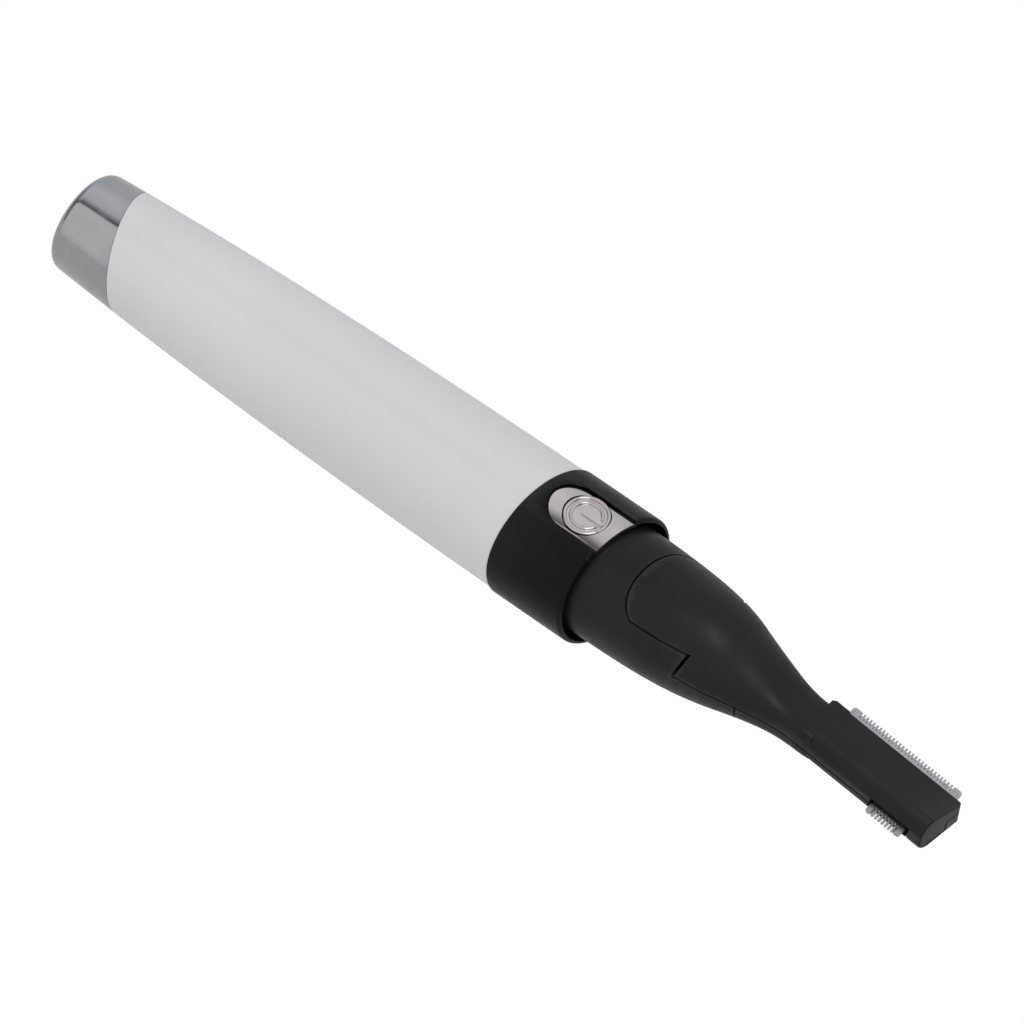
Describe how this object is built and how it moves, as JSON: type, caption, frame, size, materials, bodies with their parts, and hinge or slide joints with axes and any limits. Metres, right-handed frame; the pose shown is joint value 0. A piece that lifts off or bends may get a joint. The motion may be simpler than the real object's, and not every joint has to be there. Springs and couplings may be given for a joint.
{
  "type": "nose hair trimmer",
  "caption": "Slim battery trimmer with a tapered white handle, chrome tail cap, black collar with a power button and a black head with toothed side blades.",
  "frame": {"origin": "centre of the black collar, on the handle's axis", "axes": "+X along the handle from the tail cap to the blade tip, +Z out through the power button, +Y towards the long blade"},
  "size_m": [0.1454, 0.02, 0.02],
  "materials": {
    "white_shell": "glossy white moulded ABS",
    "chrome_plate": "bright chrome plating on ABS",
    "button_chrome": "chrome plating, slightly warm",
    "black_shell": "satin black moulded ABS",
    "inner_plastic": "plain moulded plastic",
    "cam_plastic": "natural acetal",
    "blade_steel": "ground stainless steel",
    "spring_steel": "drawn wire",
    "contact_brass": "nickel-free brass strip",
    "bearing_brass": "sintered bronze",
    "motor_steel": "zinc plated steel",
    "board": "printed circuit board",
    "seal_rubber": "nitrile rubber",
    "cell_jacket": "plain printed jacket"
  },
  "bodies": {
    "handle": {"handle_tube": "white_shell", "collar": "black_shell", "button_bezel": "button_chrome", "chassis_cradle": "inner_plastic", "chassis_cover": "inner_plastic", "positive_contact": "contact_brass", "negative_strip": "contact_brass", "motor_can": "motor_steel", "motor_bearing": "bearing_brass", "motor_end_bell": "inner_plastic", "motor_terminals": "contact_brass", "switch_board": "board", "switch_body": "inner_plastic"},
    "cap": {"end_cap": "chrome_plate", "cap_seal": "seal_rubber", "cap_contact": "contact_brass", "battery_spring": "spring_steel"},
    "cell": {"aaa_battery": "cell_jacket"},
    "button": {"power_button": "button_chrome", "switch_plunger": "cam_plastic"},
    "drive": {"motor_shaft": "spring_steel", "drive_cam": "cam_plastic"},
    "head": {"head_base": "black_shell", "head_top_cover": "black_shell", "head_back_cover": "black_shell", "neck_seal": "seal_rubber", "rod_guide": "inner_plastic", "fixed_comb": "blade_steel", "comb_pins": "inner_plastic", "rod_spring": "spring_steel"},
    "cutter": {"moving_cutter": "blade_steel", "cutter_carrier": "cam_plastic", "cutter_rivets": "spring_steel", "cutter_rod": "cam_plastic"}
  },
  "joints": [
    {"name": "cap_pull", "type": "slide", "parent": "handle", "child": "cap", "axis": [-1, 0, 0], "range_m": [0, 0.06]},
    {"name": "cell_slide", "type": "slide", "parent": "handle", "child": "cell", "axis": [-1, 0, 0], "range_m": [0, 0.05]},
    {"name": "button_press", "type": "slide", "parent": "handle", "child": "button", "axis": [0, 0, -1], "range_m": [0, 0.0004], "stiffness_N_per_m": 1500, "springref_m": -0.0003},
    {"name": "drive_spin", "type": "hinge", "parent": "handle", "child": "drive", "pos_m": [0, 0, 0], "axis": [1, 0, 0], "continuous": true},
    {"name": "head_pull", "type": "slide", "parent": "handle", "child": "head", "axis": [1, 0, 0], "range_m": [0, 0.02]},
    {"name": "cutter_stroke", "type": "slide", "parent": "head", "child": "cutter", "axis": [0.9895, 0, -0.1444], "range_m": [-0.0005, 0.0005], "stiffness_N_per_m": 300, "deforming": ["rod_spring"]}
  ],
  "couplings": [
    {"joint": "cell_slide", "follows": "cap_pull", "ratio": 0.8}
  ]
}
